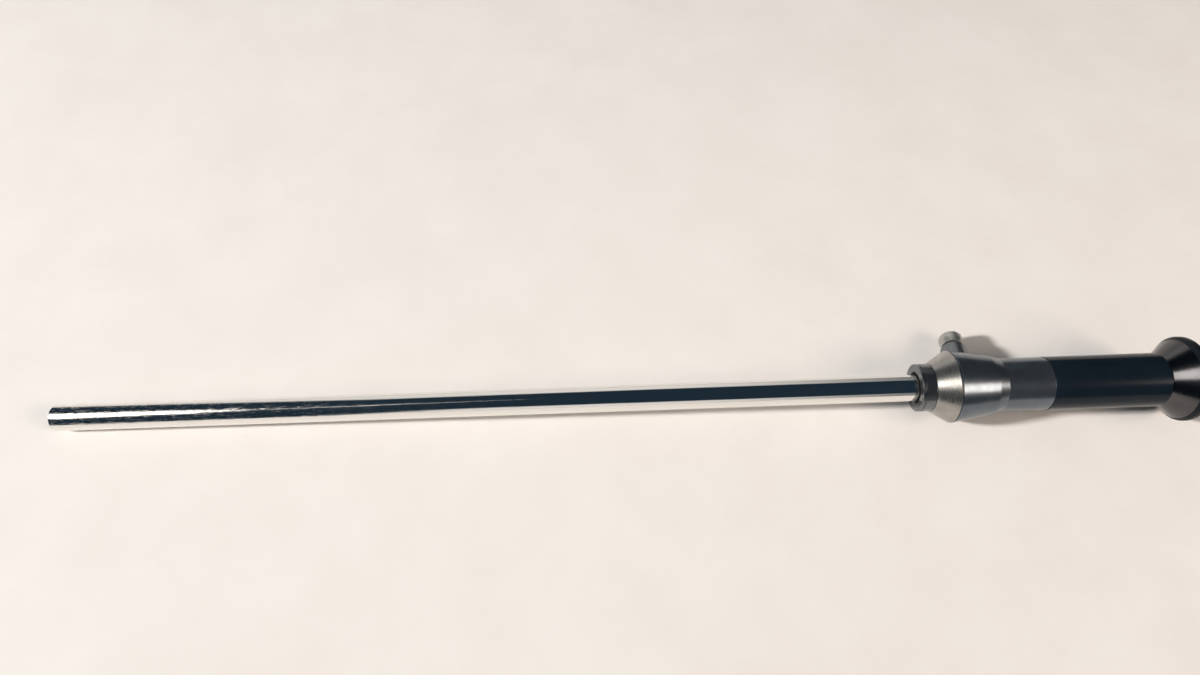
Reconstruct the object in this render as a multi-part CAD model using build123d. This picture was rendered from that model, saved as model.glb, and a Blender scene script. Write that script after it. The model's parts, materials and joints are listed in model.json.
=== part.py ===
from build123d import *
import os
from math import asin, atan, atan2, cos, degrees, hypot, pi, sin, tan

# Rigid endoscope, straight view, 10 mm shaft, in millimetres.
# Every piece is built on the scope axis first: x is the station from the distal tip,
# y the side of the light post. The last step lays the whole scope down on its tip,
# its eyepiece rim and the end of its light post.

# Seats
fit = 0.02
thread_fit = 0.05

# Shaft
shaft_d = 10.0
shaft_wall = 0.4
shaft_seat_step = 0.2
working_length = 330.0
tip_round = 0.25
fibre_layer = 0.8
optical_wall = 0.3

# Shaft collar
collar_d = 18.0
collar_length = 5.2
collar_sink_width = 1.2
collar_sink_depth = 1.4
collar_groove_from_face = 0.95
collar_groove_width = 0.35
collar_groove_depth = 0.35
collar_stub_wall = 0.8
collar_stub_length = 3.3
edge_break = 0.2

# Front cone and light housing
cone_front_step = 0.15
cone_d = 27.2
cone_length = 7.4
housing_spigot_d = 20.0
housing_spigot_length = 2.8
front_web = 3.4
shoulder_step = 1.25
taper_length = 14.6
neck_length = 3.8
barrel_d = 20.0
barrel_wall = 1.9
barrel_length = 17.2
barrel_chamfer = 0.3

# Core tube and grip
core_wall = 1.1
core_web = 3.0
core_clear = 0.6
core_thread_length = 3.0
grip_proud = 0.1
grip_length = 42.1
grip_edge = 0.15

# Seal rings
seal_section = 1.0
collar_seal_depth = 2.6
spigot_seal_depth = 0.9
barrel_seal_depth = 2.0

# Eyepiece
flare_angle = 42.0
flare_root_step = 1.6
rim_d = 31.75
rim_round = 1.0
rim_length = 3.2
eyecup_step = 1.0
eyecup_round = 1.8
eyecup_spigot_inset = 3.875
dish_inset = 3.875
dish_depth = 4.8
eye_aperture_d = 11.6
funnel_web = 0.6
window_seal_thickness = 0.3
eye_window_land = 1.2
eye_window_thickness = 1.5
window_ring_length = 0.7

# Light post, measured from the scope axis along the post
post_offset = 5.9
post_reach = 27.3
post_seat = 12.0
post_joint = 21.2
post_seal_thickness = 0.5
post_end_flare = 0.35
post_end_length = 2.6
adapter_wall = 0.98
post_base_flare = 0.6
post_base_chamfer = 0.25
post_edge_round = 0.4
post_seal_recess = 0.45
spotface_clear = 0.15
stub_d = 6.2
stub_wall = 0.35
stub_root = 0.4
ferrule_wall = 0.2
ferrule_length = 7.0
post_window_thickness = 0.7
post_window_recess = 0.15
post_lip = 0.25

# Lens train
spacer_wall = 0.3
tip_window_thickness = 0.8
negative_lens_thickness = 1.5
negative_lens_hollow = 0.7
objective_spacer_length = 0.7
objective_block_length = 6.0
objective_crown_thickness = 2.2
objective_flint_thickness = 1.2
cemented_bulge = 0.45
outer_bulge = 0.25
relay_rods = 6
relay_gap = 6.0
achromat_thickness = 2.4
spring_length = 5.0
spring_wire_d = 0.5
spring_turns = 4
train_nut_length = 2.0

# Ocular
field_stop_gap = 4.0
field_stop_thickness = 1.0
field_stop_aperture_d = 5.2
ocular_length = 30.0
ocular_end_gap = 1.0
ocular_wall = 0.9
ocular_lip = 1.0
ocular_lip_height = 0.8
field_lens_thickness = 3.0
eye_crown_thickness = 3.2
eye_flint_thickness = 1.6
ocular_ring_length = 2.0
ocular_spacer_wall = 0.7
ocular_bulge = 0.6
centring_screws_count = 3
centring_screw_d = 2.0
centring_screw_station = 8.0

# Radii that follow
shaft_r = shaft_d / 2
shaft_bore_r = shaft_r - shaft_wall
shaft_seat_r = shaft_r - shaft_seat_step
optical_r = shaft_bore_r - fibre_layer
optical_bore_r = optical_r - optical_wall
lens_r = optical_bore_r - fit
clear_r = lens_r - spacer_wall
collar_r = collar_d / 2
collar_sink_r = shaft_r + collar_sink_width
collar_stub_r = shaft_r + seal_section + collar_stub_wall
cone_front_r = collar_r + cone_front_step
spigot_r = housing_spigot_d / 2
cone_r = cone_d / 2
barrel_r = barrel_d / 2
shoulder_r = barrel_r + shoulder_step
housing_bore_r = barrel_r - barrel_wall
core_r = housing_bore_r - thread_fit
core_bore_r = core_r - core_wall
grip_r = barrel_r + grip_proud
rim_r = rim_d / 2
flare_root_r = grip_r - flare_root_step
eyecup_joint_r = rim_r - eyecup_step
eyecup_spigot_r = rim_r - eyecup_spigot_inset
dish_r = rim_r - dish_inset
eye_aperture_r = eye_aperture_d / 2
eye_window_r = eye_aperture_r + eye_window_land
stub_r = stub_d / 2
stub_bore_r = stub_r - stub_wall
adapter_bore_r = stub_r + fit
post_waist_r = adapter_bore_r + adapter_wall
post_end_r = post_waist_r + post_end_flare
post_base_r = post_waist_r + post_base_flare
ferrule_r = stub_bore_r - fit
bundle_r = ferrule_r - ferrule_wall - fit
ocular_r = core_bore_r - thread_fit
ocular_bore_r = ocular_r - ocular_wall
ocular_lens_r = ocular_bore_r - fit

# Stations along the scope axis
collar_end = working_length + collar_length
cone_end = collar_end + cone_length
shoulder = cone_end + taper_length
barrel_start = shoulder + neck_length
barrel_end = barrel_start + barrel_length
grip_end = barrel_end + grip_length
spigot_front = cone_end - housing_spigot_length
web_end = spigot_front + front_web
flare_slope = tan(flare_angle * pi / 180)
eyecup_start = grip_end + (eyecup_joint_r - flare_root_r) / flare_slope
rim_corner = grip_end + (rim_r - flare_root_r) / flare_slope
scope_end = rim_corner + rim_length
core_end = grip_end + core_thread_length
window_seat = core_end + funnel_web
window_front = window_seat + window_seal_thickness
window_back = window_front + eye_window_thickness
eyecup_front = window_back + window_ring_length

# The post stands square on the rear taper, so it leans by the taper's half angle
post_lean = atan((cone_r - shoulder_r) / taper_length)
post_station = cone_end + post_offset
post_frame = Plane(
    origin=(post_station, 0, 0),
    x_dir=(sin(post_lean), cos(post_lean), 0),
    z_dir=(0, 0, 1),
).location
post_window_back = post_reach - post_window_recess
post_window_front = post_window_back - post_window_thickness
stub_end = post_window_front - post_lip

core_start = (
    post_station
    + housing_bore_r * tan(post_lean)
    + (stub_r + fit) / cos(post_lean)
    + core_clear
)
optical_end = core_start + core_web

# Relay train stations
relay_start = (
    tip_window_thickness
    + negative_lens_thickness
    + objective_spacer_length
    + objective_block_length
    + objective_crown_thickness
    + objective_flint_thickness
)
relay_end = optical_end - train_nut_length - spring_length
rod_pitch = (relay_end - relay_start - relay_gap) / relay_rods
rod_length = rod_pitch - relay_gap - achromat_thickness

field_stop_start = optical_end + field_stop_gap
ocular_end = core_end - ocular_end_gap
ocular_start = ocular_end - ocular_length


# Outlines turned on the scope axis
def turned(corners, rounds=(), chamfers=()):
    """Turn an outline of (station, radius) corners about the x axis."""
    face = make_face(Polyline(*corners, close=True)).face()
    for corner, size in rounds:
        face = face.fillet_2d(size, [nearest_corner(face, corner)])
    for corner, size in chamfers:
        face = face.chamfer_2d(size, size, [nearest_corner(face, corner)])
    return revolve(face, Axis.X)


def nearest_corner(face, corner):
    """The corner of an outline that lies at the given station and radius."""
    return face.vertices().sort_by_distance((corner[0], corner[1], 0))[0]


def ring(start, end, inner_r, outer_r):
    """A plain tube or ring between two stations."""
    return turned([(start, inner_r), (start, outer_r), (end, outer_r), (end, inner_r)])


def rod(start, end, radius):
    """A plain round bar between two stations."""
    return turned([(start, 0), (start, radius), (end, radius), (end, 0)])


def seal_ring(station, centre_r):
    """A rubber ring of round section."""
    return Pos(station, 0, 0) * Rot(0, 90, 0) * Torus(centre_r, seal_section / 2)


def cap_edge(station, bulge, clear, side):
    """Edge from the axis to the rim of a lens face; side is -1 in front, 1 behind."""
    if bulge == 0:
        return Line((station, 0), (station, clear))
    reach = abs(bulge)
    sphere_r = (clear * clear + reach * reach) / (2 * reach)
    half = asin(clear / sphere_r) / 2
    sign = side * bulge / reach
    apex = station + side * bulge
    middle = (apex - sign * (sphere_r - sphere_r * cos(half)), sphere_r * sin(half))
    return ThreePointArc((apex, 0), middle, (station, clear))


def lens(start, end, radius, clear, front=0.0, back=0.0):
    """A glass element with flat lands; a positive bulge stands out, a negative one is hollow."""
    front_edge = cap_edge(start, front, clear, -1)
    back_edge = cap_edge(end, back, clear, 1)
    land = Polyline((start, clear), (start, radius), (end, radius), (end, clear))
    axis_line = Line((start - front, 0), (end + back, 0))
    outline = Wire([*front_edge.edges(), *land.edges(), *back_edge.edges(), *axis_line.edges()])
    return revolve(make_face(outline), Axis.X)


# Shaft
def outer_tube():
    """Stainless shaft tube, turned down behind the working length for its solder seat."""
    corners = [
        (0, shaft_bore_r),
        (0, shaft_r),
        (working_length, shaft_r),
        (working_length, shaft_seat_r),
        (web_end, shaft_seat_r),
        (web_end, shaft_bore_r),
    ]
    return turned(corners, rounds=[((0, shaft_r), tip_round)])


def optical_tube():
    """Thin inner tube that holds the lens train, from the tip to the core tube."""
    return ring(0, optical_end, optical_bore_r, optical_r)


def light_fibres():
    """Glass fibres: a sleeve round the optical tube that gathers into the light post."""
    sleeve_r = shaft_bore_r - fit
    bend_angle = pi / 2 - post_lean
    reach = post_station - web_end
    bend_r = reach / (sin(bend_angle) - (1 - cos(bend_angle)) * tan(post_lean))
    sections = []
    for share in (0, 0.5, 1):
        turn = share * bend_angle
        centre = (web_end + bend_r * sin(turn), bend_r * (1 - cos(turn)), 0)
        across = Plane(origin=centre, z_dir=(cos(turn), sin(turn), 0), x_dir=(0, 0, 1))
        sections.append(across * Circle(sleeve_r + (bundle_r - sleeve_r) * share))
    gather = loft(sections)
    bend_end = bend_r * (1 - cos(bend_angle)) / cos(post_lean)
    bundle = post_frame * rod(bend_end, post_window_front, bundle_r)
    sleeve = rod(0, web_end, sleeve_r)
    bore = rod(-1, optical_end, optical_r + fit)
    return sleeve + gather + bundle - bore


# Lens train
def objective():
    """Window and objective glasses, stacked from the tip."""
    s = 0
    pieces = {}
    pieces["tip_window"] = lens(s, s + tip_window_thickness, lens_r, clear_r)
    s += tip_window_thickness
    negative = lens(
        s, s + negative_lens_thickness, lens_r, clear_r, back=-negative_lens_hollow
    )
    pieces["negative_lens"] = negative
    s += negative_lens_thickness
    pieces["objective_spacer"] = ring(s, s + objective_spacer_length, clear_r, lens_r)
    s += objective_spacer_length
    pieces["objective_block"] = lens(s, s + objective_block_length, lens_r, clear_r)
    s += objective_block_length
    crown = lens(s, s + objective_crown_thickness, lens_r, clear_r, back=cemented_bulge)
    pieces["objective_crown"] = crown
    s += objective_crown_thickness
    pieces["objective_flint"] = lens(
        s,
        s + objective_flint_thickness,
        lens_r,
        clear_r,
        front=-cemented_bulge,
        back=outer_bulge,
    )
    return pieces


def relay_train():
    """Rod lenses with their cemented ends; every second one is turned round."""
    pieces = {"lens_spacer_1": ring(relay_start, relay_start + relay_gap, clear_r, lens_r)}
    for index in range(relay_rods):
        name = str(index + 1)
        start = relay_start + relay_gap + index * rod_pitch
        end = start + rod_length + achromat_thickness
        if index % 2 == 0:
            joint = start + rod_length
            glass = lens(start, joint, lens_r, clear_r, outer_bulge, cemented_bulge)
            partner = lens(joint, end, lens_r, clear_r, -cemented_bulge, outer_bulge)
        else:
            joint = start + achromat_thickness
            partner = lens(start, joint, lens_r, clear_r, outer_bulge, -cemented_bulge)
            glass = lens(joint, end, lens_r, clear_r, cemented_bulge, outer_bulge)
        pieces["rod_lens_" + name] = glass
        pieces["relay_achromat_" + name] = partner
        spacer = ring(end, end + relay_gap, clear_r, lens_r)
        pieces["lens_spacer_" + str(index + 2)] = spacer
    return pieces


def train_spring():
    """Coil spring that keeps the lens train pressed together."""
    wire_r = spring_wire_d / 2
    coil_r = lens_r - wire_r
    rise = spring_length - spring_wire_d
    path = Helix(rise / spring_turns, rise, coil_r)
    start = Plane(origin=path @ 0, z_dir=path % 0)
    coil = sweep(start * Circle(wire_r), path, is_frenet=True)
    return Pos(relay_end + wire_r, 0, 0) * Rot(0, 90, 0) * coil


def train_nut():
    """Threaded ring that closes the optical tube."""
    return ring(optical_end - train_nut_length, optical_end, clear_r, lens_r)


# Housing
def shaft_collar():
    """Turned nose ring with a fine groove and a countersink round the shaft."""
    bore_r = shaft_seat_r + fit
    groove = working_length + collar_groove_from_face
    groove_end = groove + collar_groove_width
    groove_r = collar_r - collar_groove_depth
    sink_end = working_length + collar_sink_depth
    seal_start = working_length + collar_seal_depth
    seal_end = seal_start + seal_section + 2 * thread_fit
    seal_r = bore_r + seal_section + fit
    stub_face = collar_end + collar_stub_length
    corners = [
        (working_length, collar_sink_r),
        (working_length, collar_r),
        (groove, collar_r),
        (groove, groove_r),
        (groove_end, groove_r),
        (groove_end, collar_r),
        (collar_end, collar_r),
        (collar_end, collar_stub_r),
        (stub_face, collar_stub_r),
        (stub_face, bore_r),
        (seal_end, bore_r),
        (seal_end, seal_r),
        (seal_start, seal_r),
        (seal_start, bore_r),
        (sink_end, bore_r),
    ]
    edges = [((working_length, collar_r), edge_break), ((collar_end, collar_r), edge_break)]
    return turned(corners, chamfers=edges)


def collar_seal():
    """Rubber ring between the collar and the shaft."""
    station = working_length + collar_seal_depth + thread_fit + seal_section / 2
    return seal_ring(station, shaft_seat_r + fit + seal_section / 2)


def front_cone():
    """Polished cone screwed on the front of the light housing."""
    stub_seat_r = collar_stub_r + thread_fit
    spigot_seat_r = spigot_r + thread_fit
    corners = [
        (collar_end, stub_seat_r),
        (collar_end, cone_front_r),
        (cone_end - edge_break, cone_r),
        (cone_end, cone_r),
        (cone_end, spigot_seat_r),
        (spigot_front, spigot_seat_r),
        (spigot_front, stub_seat_r),
    ]
    return turned(corners, chamfers=[((cone_end, cone_r), edge_break / 2)])


def spigot_seal():
    """Rubber ring between the front cone and the light housing."""
    station = spigot_front + spigot_seal_depth + seal_section / 2 + thread_fit
    return seal_ring(station, spigot_r - seal_section / 2)


def light_housing():
    """Turned housing: spigot, rear taper and barrel, with the seat of the light post."""
    seal_start = spigot_front + spigot_seal_depth
    seal_end = seal_start + seal_section + 2 * thread_fit
    seal_r = spigot_r - seal_section - fit
    corners = [
        (spigot_front, shaft_seat_r + fit),
        (spigot_front, spigot_r),
        (seal_start, spigot_r),
        (seal_start, seal_r),
        (seal_end, seal_r),
        (seal_end, spigot_r),
        (cone_end, spigot_r),
        (cone_end, cone_r),
        (shoulder, shoulder_r),
        (barrel_start, barrel_r),
        (barrel_end, barrel_r),
        (barrel_end, housing_bore_r),
        (web_end, housing_bore_r),
        (web_end, shaft_seat_r + fit),
    ]
    edges = [((cone_end, cone_r), edge_break), ((barrel_end, barrel_r), barrel_chamfer)]
    body = turned(corners, chamfers=edges)
    hole = post_frame * rod(optical_r, cone_r, stub_r + fit)
    spotface_r = post_base_r + spotface_clear
    spotface = post_frame * rod(post_seat, post_reach, spotface_r)
    return body - hole - spotface


def core_tube():
    """Inner tube that carries the optical tube, the grip, the ocular and the eyepiece."""
    seal_end = barrel_end - barrel_seal_depth
    seal_start = seal_end - seal_section - 2 * thread_fit
    seal_r = core_r - seal_section
    web_back = core_start + core_web
    corners = [
        (core_start, optical_r + fit),
        (core_start, core_r),
        (seal_start, core_r),
        (seal_start, seal_r),
        (seal_end, seal_r),
        (seal_end, core_r),
        (core_end, core_r),
        (core_end, core_bore_r),
        (web_back, core_bore_r),
        (web_back, optical_r + fit),
    ]
    body = turned(corners)
    for angle in screw_angles():
        body -= screw_at(angle, core_bore_r - 1, core_r + 1, centring_screw_d / 2 + fit)
    return body


def barrel_seal():
    """Rubber ring between the core tube and the barrel."""
    station = barrel_end - barrel_seal_depth - seal_section / 2 - thread_fit
    return seal_ring(station, housing_bore_r - fit - seal_section / 2)


def grip_sleeve():
    """Black sleeve over the core tube, flush with the barrel."""
    bore_r = core_r + thread_fit
    corners = [(barrel_end, bore_r), (barrel_end, grip_r), (grip_end, grip_r), (grip_end, bore_r)]
    edges = [((barrel_end, grip_r), grip_edge), ((grip_end, grip_r), grip_edge)]
    return turned(corners, chamfers=edges)


# Ocular
def screw_angles():
    """Even angles round the axis, the first one on the side of the light post."""
    return [360 / centring_screws_count * index for index in range(centring_screws_count)]


def screw_at(angle, inner_r, outer_r, radius):
    """A radial bar at the centring screws' station."""
    bar = Cylinder(radius, outer_r - inner_r)
    station = ocular_start + centring_screw_station
    return Rot(angle, 0, 0) * Pos(station, (inner_r + outer_r) / 2, 0) * Rot(90, 0, 0) * bar


def centring_screws():
    """Grub screws that centre the ocular tube, covered by the grip."""
    screws = []
    for angle in screw_angles():
        screws.append(screw_at(angle, ocular_r + fit, core_r - fit, centring_screw_d / 2))
    return Compound(screws)


def field_stop():
    """Pressed disc whose round opening frames the picture."""
    outer_r = core_bore_r - fit
    end = field_stop_start + field_stop_thickness
    return ring(field_stop_start, end, field_stop_aperture_d / 2, outer_r)


def ocular_tube():
    """Cell of the ocular, with a lip that seats the field lens."""
    lip_r = ocular_bore_r - ocular_lip_height
    lip_end = ocular_start + ocular_lip
    corners = [
        (ocular_start, lip_r),
        (ocular_start, ocular_r),
        (ocular_end, ocular_r),
        (ocular_end, ocular_bore_r),
        (lip_end, ocular_bore_r),
        (lip_end, lip_r),
    ]
    return turned(corners)


def ocular_stack():
    """Field lens, spacer, cemented eye lens and threaded ring, from the lip outwards."""
    clear = ocular_lens_r - ocular_spacer_wall
    field_start = ocular_start + ocular_lip
    field_end = field_start + field_lens_thickness
    ring_start = ocular_end - ocular_ring_length
    flint_start = ring_start - eye_flint_thickness
    crown_start = flint_start - eye_crown_thickness
    pieces = {}
    pieces["field_lens"] = lens(field_start, field_end, ocular_lens_r, clear, back=ocular_bulge)
    pieces["ocular_spacer"] = ring(field_end, crown_start, clear, ocular_lens_r)
    crown = lens(
        crown_start, flint_start, ocular_lens_r, clear, ocular_bulge, cemented_bulge
    )
    pieces["eye_crown"] = crown
    flint = lens(flint_start, ring_start, ocular_lens_r, clear, front=-cemented_bulge)
    pieces["eye_flint"] = flint
    pieces["ocular_ring"] = ring(ring_start, ocular_end, clear, ocular_lens_r)
    return pieces


# Eyepiece
def eyepiece_funnel():
    """Flared metal eyepiece screwed on the core tube."""
    core_seat_r = core_r + thread_fit
    window_seat_r = eye_window_r + fit
    spigot_seat_r = eyecup_spigot_r + thread_fit
    corners = [
        (grip_end, core_seat_r),
        (grip_end, flare_root_r),
        (eyecup_start, eyecup_joint_r),
        (eyecup_start, spigot_seat_r),
        (eyecup_front, spigot_seat_r),
        (eyecup_front, window_seat_r),
        (window_seat, window_seat_r),
        (window_seat, eye_aperture_r),
        (core_end, eye_aperture_r),
        (core_end, core_seat_r),
    ]
    return turned(corners)


def window_seal():
    """Flat gasket in front of the eye window."""
    return ring(window_seat, window_front, eye_aperture_r, eye_window_r)


def eye_window():
    """Glass window of the eyepiece."""
    return rod(window_front, window_back, eye_window_r)


def window_ring():
    """Threaded ring behind the eye window."""
    return ring(window_back, eyecup_front, eye_aperture_r, eye_window_r)


def eyecup_ring():
    """Black eyecup: rounded rim, conical dish, and the spigot that seats it."""
    corners = [
        (eyecup_front, eye_aperture_r),
        (eyecup_front, eyecup_spigot_r),
        (eyecup_start, eyecup_spigot_r),
        (eyecup_start, eyecup_joint_r),
        (rim_corner, rim_r),
        (scope_end, rim_r),
        (scope_end, dish_r),
        (scope_end - dish_depth, eye_aperture_r),
    ]
    edges = [((rim_corner, rim_r), rim_round), ((scope_end, rim_r), eyecup_round)]
    return turned(corners, rounds=edges)


# Light post
def post_stub():
    """Tube brazed through the housing wall, under both adapters."""
    start = housing_bore_r + stub_root
    return post_frame * ring(start, stub_end, stub_bore_r, stub_r)


def fibre_ferrule():
    """Sleeve that binds the fibre ends in the stub."""
    start = stub_end - ferrule_length
    return post_frame * ring(start, stub_end, bundle_r + fit, ferrule_r)


def inner_adapter():
    """Lower adapter: a plain foot that stands on the flat of the housing."""
    corners = [
        (post_seat, adapter_bore_r),
        (post_seat, post_base_r),
        (post_joint, post_base_r),
        (post_joint, adapter_bore_r),
    ]
    return post_frame * turned(corners, chamfers=[((post_joint, post_base_r), post_base_chamfer)])


def adapter_seal():
    """Dark ring in the groove between the adapters."""
    outer_r = post_waist_r - post_seal_recess
    end = post_joint + post_seal_thickness
    return post_frame * ring(post_joint, end, adapter_bore_r, outer_r)


def outer_adapter():
    """End cap that narrows to the waist and takes the plug of a light guide."""
    window_r = bundle_r + ferrule_wall
    start = post_joint + post_seal_thickness
    corners = [
        (start, adapter_bore_r),
        (start, post_waist_r),
        (post_reach - post_end_length, post_end_r),
        (post_reach, post_end_r),
        (post_reach, window_r + fit),
        (stub_end, window_r + fit),
        (stub_end, adapter_bore_r),
    ]
    return post_frame * turned(corners, rounds=[((post_reach, post_end_r), post_edge_round)])


def post_window():
    """Glass disc over the fibre ends."""
    window_r = bundle_r + ferrule_wall
    return post_frame * rod(post_window_front, post_window_back, window_r)


# Pose at rest
def rest_tilt():
    """Angle of the axis when the shaft tip and the eyepiece rim both touch the table."""
    half_corner = flare_angle * pi / 360
    rim_centre = rim_corner + rim_round * tan(half_corner)
    along = rim_centre - tip_round
    across = (rim_r - rim_round) - (shaft_r - tip_round)
    return atan(across / along) + asin((rim_round - tip_round) / hypot(along, across))


def axis_height(station, tilt):
    """Height of the scope axis over the table at a station."""
    tip_height = (shaft_r - tip_round) * cos(tilt) + tip_round - tip_round * sin(tilt)
    return tip_height + station * sin(tilt)


def rest_roll(tilt):
    """Turn about the axis that brings the end of the light post down to the table."""
    root_height = axis_height(post_station, tilt)
    reach = post_reach - post_edge_round
    radius = post_end_r - post_edge_round
    dip = asin((root_height - post_edge_round) / hypot(reach, radius)) - atan2(radius, reach)
    return asin((sin(dip) + sin(post_lean) * sin(tilt)) / (cos(post_lean) * cos(tilt)))


def all_pieces():
    """Every piece by name, on the scope axis."""
    pieces = {
        "outer_tube": outer_tube(),
        "optical_tube": optical_tube(),
        "light_fibres": light_fibres(),
        "train_spring": train_spring(),
        "train_nut": train_nut(),
        "shaft_collar": shaft_collar(),
        "collar_seal": collar_seal(),
        "front_cone": front_cone(),
        "spigot_seal": spigot_seal(),
        "light_housing": light_housing(),
        "core_tube": core_tube(),
        "barrel_seal": barrel_seal(),
        "grip_sleeve": grip_sleeve(),
        "centring_screws": centring_screws(),
        "field_stop": field_stop(),
        "ocular_tube": ocular_tube(),
        "eyepiece_funnel": eyepiece_funnel(),
        "window_seal": window_seal(),
        "eye_window": eye_window(),
        "window_ring": window_ring(),
        "eyecup_ring": eyecup_ring(),
        "post_stub": post_stub(),
        "fibre_ferrule": fibre_ferrule(),
        "inner_adapter": inner_adapter(),
        "adapter_seal": adapter_seal(),
        "outer_adapter": outer_adapter(),
        "post_window": post_window(),
    }
    pieces.update(objective())
    pieces.update(relay_train())
    pieces.update(ocular_stack())
    return pieces


pieces = all_pieces()
tilt = rest_tilt()
roll = rest_roll(tilt)
laid = Pos(0, 0, axis_height(0, tilt)) * Rot(0, -degrees(tilt), 0) * Rot(-degrees(roll), 0, 0)
resting = {name: laid * solid for name, solid in pieces.items()}
box = Compound(list(resting.values())).bounding_box()
centred = Pos(-(box.min.X + box.max.X) / 2, -(box.min.Y + box.max.Y) / 2, 0)

os.makedirs("parts", exist_ok=True)
for name, solid in resting.items():
    export_step(centred * solid, "parts/" + name + ".step")
print(len(pieces), "pieces, tilt", round(degrees(tilt), 3), "roll", round(degrees(roll), 3))
print("box", box.min, box.max)
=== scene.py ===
# %% [markdown]
# # A rigid endoscope in steel, black sleeve and glass
# The scope lies on a white sheet: a slim mirror-bright tube on the left, a turned steel
# housing with its light post, a black grip and a flared eyepiece on the right.
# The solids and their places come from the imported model. This file adds what the eye
# sees: smooth turned surfaces, the finish of each metal, light and camera.

# %% Frame
import json
import math

import bmesh
import bpy
from mathutils import Matrix, Vector


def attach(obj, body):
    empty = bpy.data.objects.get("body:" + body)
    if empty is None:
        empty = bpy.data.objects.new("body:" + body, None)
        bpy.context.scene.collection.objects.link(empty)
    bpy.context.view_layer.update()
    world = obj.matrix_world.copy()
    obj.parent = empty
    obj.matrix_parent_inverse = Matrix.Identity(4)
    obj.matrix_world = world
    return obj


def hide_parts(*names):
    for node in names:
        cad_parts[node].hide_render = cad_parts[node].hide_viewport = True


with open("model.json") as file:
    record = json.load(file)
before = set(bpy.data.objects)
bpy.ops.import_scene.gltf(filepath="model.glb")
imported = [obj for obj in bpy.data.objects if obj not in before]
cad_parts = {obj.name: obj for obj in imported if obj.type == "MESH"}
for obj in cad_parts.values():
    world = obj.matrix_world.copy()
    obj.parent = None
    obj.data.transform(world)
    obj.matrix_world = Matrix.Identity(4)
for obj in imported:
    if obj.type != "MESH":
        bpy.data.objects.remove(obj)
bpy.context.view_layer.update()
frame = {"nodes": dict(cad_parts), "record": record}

MM = 0.001
scene = bpy.context.scene
print(len(frame["nodes"]), "nodes loaded")

# %% [markdown]
# ## The scope's own axis
# Everything on a scope is turned on one axis. It leans a little here, because the thin
# tip and the wide rim of the eyepiece both touch the table. The record has a mount on that
# axis, so the direction is read from it and no angle is copied by hand. The tip is the
# lowest station of the shaft's points.

# %% Axis
mounts = {mount["name"]: mount for mount in frame["record"]["mounts"]}
shaft_point = Vector(mounts["working_shaft"]["pos_m"])
AXIS = -Vector(mounts["working_shaft"]["axis"]).normalized()
shaft_points = [Vector(v.co) for v in frame["nodes"]["outer_tube"].data.vertices]
first_station = min((p - shaft_point).dot(AXIS) for p in shaft_points)
TIP = shaft_point + AXIS * first_station
TILT = math.asin(AXIS.z)
SCOPE = Matrix.Translation(TIP) @ Matrix.Rotation(-TILT, 4, "Y")
print("tilt", round(math.degrees(TILT), 3), "tip", tuple(round(c, 4) for c in TIP))

# %% [markdown]
# ## The axis of the light post
# The light post is turned too, on an axis of its own that crosses the scope's. The record
# gives the middle of its end and its direction, and the crossing follows from both axes.
# A matrix for each axis lets all pieces be drawn lying along x and then put in place.

# %% Post axis
post_end = Vector(mounts["light_post_end"]["pos_m"])
POST_AXIS = Vector(mounts["light_post_end"]["axis"]).normalized()
offset = post_end - TIP
cosine = AXIS.dot(POST_AXIS)
along = (offset.dot(POST_AXIS) - cosine * offset.dot(AXIS)) / (1 - cosine * cosine)
POST_ROOT = post_end - POST_AXIS * along
across = (AXIS - POST_AXIS * cosine).normalized()
POST = Matrix((POST_AXIS, across, POST_AXIS.cross(across))).transposed().to_4x4()
POST = Matrix.Translation(POST_ROOT) @ POST
print("post root at station", round((POST_ROOT - TIP).dot(AXIS) / MM, 2), "mm")

# %% [markdown]
# ## Sizes read from the solids
# The dressed pieces have to fit the solids to a hair, so their main sizes are measured on
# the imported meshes. A turned node is told by four numbers: where it starts and ends on its
# axis, its bore and its outer radius. Only sizes that those four don't show are written
# as named values further down.

# %% Reach
def reach(node, matrix=SCOPE):
    """First and last station and smallest and largest radius of a node, in mm."""
    inverse = matrix.inverted()
    points = [inverse @ v.co for v in frame["nodes"][node].data.vertices]
    stations = [p.x / MM for p in points]
    radii = [math.hypot(p.y, p.z) / MM for p in points]
    return min(stations), max(stations), min(radii), max(radii)


for name in ("outer_tube", "shaft_collar", "front_cone", "light_housing", "grip_sleeve"):
    print(name, [round(value, 2) for value in reach(name)])

# %% [markdown]
# ## Colours and nodes
# A colour is written as the sRGB hex value that a picture shows. Blender's shaders want
# linear light, so one function converts it. Another small function adds a node, sets its
# properties and joins its inputs. Given a whole node as an input, it links the first
# output that the node's settings leave in use, which keeps each tree below short.

# %% Colours and nodes
def srgb(code):
    """Linear colour from an sRGB hex value."""
    parts = [int(code[i:i + 2], 16) / 255 for i in (1, 3, 5)]
    linear = [c / 12.92 if c <= 0.04045 else ((c + 0.055) / 1.055) ** 2.4 for c in parts]
    return (*linear, 1.0)


def in_use(sockets, label=None):
    """The first socket that is in use, and that has the label if one is given."""
    return next(s for s in sockets if s.enabled and label in (None, s.name))


def add(tree, kind, inputs=(), **settings):
    """Adds a node, sets its properties, and sets or links its inputs by label or number."""
    made = tree.nodes.new(kind)
    for key, value in settings.items():
        setattr(made, key, value)
    for key, value in dict(inputs).items():
        socket = made.inputs[key] if isinstance(key, int) else in_use(made.inputs, key)
        if isinstance(value, bpy.types.Node):
            value = in_use(value.outputs)
        if isinstance(value, bpy.types.NodeSocket):
            tree.links.new(value, socket)
        else:
            socket.default_value = value
    return made


print("middle grey is", round(srgb("#808080")[0], 3), "in linear light")

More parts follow.
